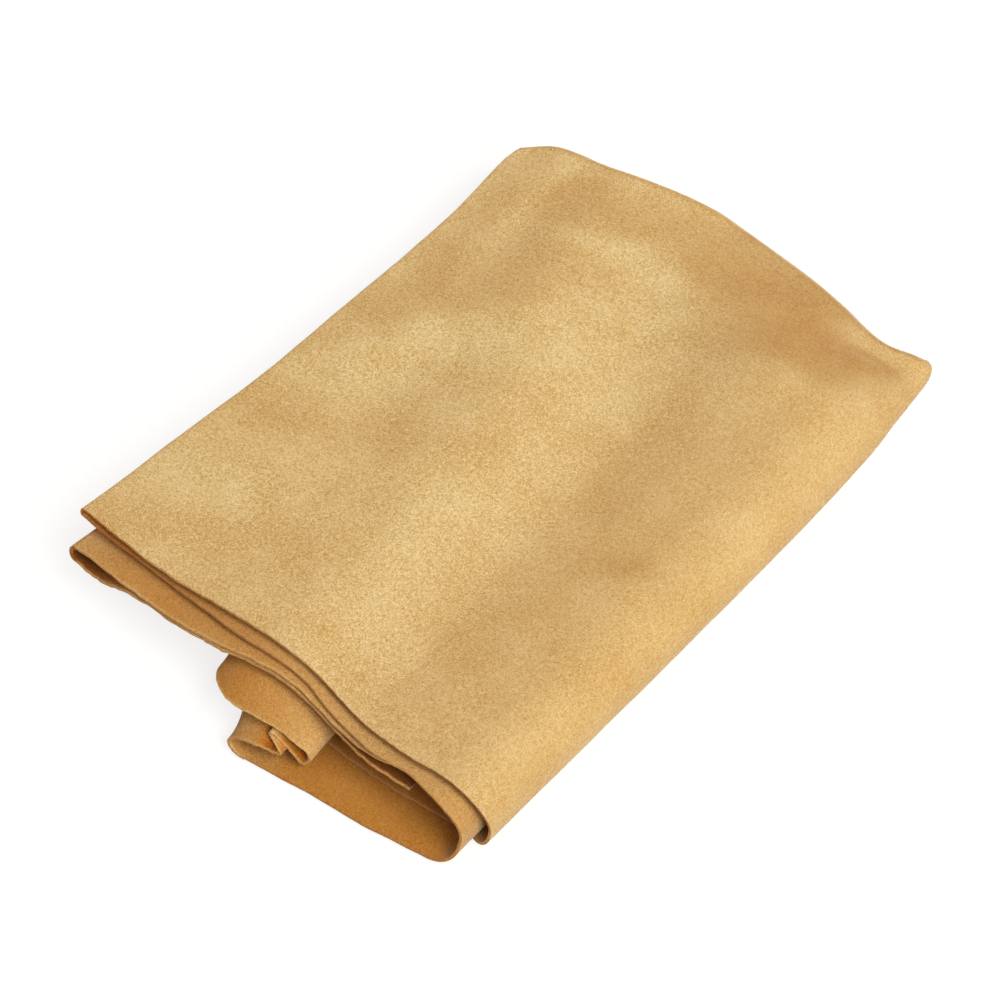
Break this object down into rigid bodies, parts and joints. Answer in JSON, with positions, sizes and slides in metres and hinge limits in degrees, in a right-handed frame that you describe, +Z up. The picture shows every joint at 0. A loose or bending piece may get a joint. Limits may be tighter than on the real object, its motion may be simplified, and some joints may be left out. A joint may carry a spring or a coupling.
{
  "type": "folded chamois leather",
  "caption": "Suede-faced tan chamois leather folded into a loose rectangular pad, its leaves joined by rolled folds; the upper leaves open like a book.",
  "frame": {"origin": "under the middle of the folded pad, on the surface that it lies on", "axes": "+Z up, +X from the left folds to the last fold, +Y from the cut front edges to the back folds"},
  "size_m": [0.2094, 0.324, 0.0444],
  "materials": {
    "chamois": "napped oil-tanned suede, matt"
  },
  "bodies": {
    "lower_leaves": {"ground_leaf": "chamois", "bottom_leaf": "chamois", "inner_leaf": "chamois", "ground_back_fold": "chamois", "bottom_back_fold": "chamois", "bottom_left_fold": "chamois", "return_leaf": "chamois", "pleat": "chamois", "roll_loop": "chamois", "roll_leaf": "chamois"},
    "upper_leaves": {"top_leaf": "chamois", "second_leaf": "chamois", "third_leaf": "chamois", "fourth_leaf": "chamois", "top_left_fold": "chamois", "inner_left_fold": "chamois", "outer_back_fold": "chamois", "inner_back_fold": "chamois"}
  },
  "joints": [
    {"name": "last_fold", "type": "hinge", "parent": "lower_leaves", "child": "upper_leaves", "pos_m": [0.1047, 0, 0.018], "axis": [0, 1, 0], "range_deg": [0, 170]}
  ]
}
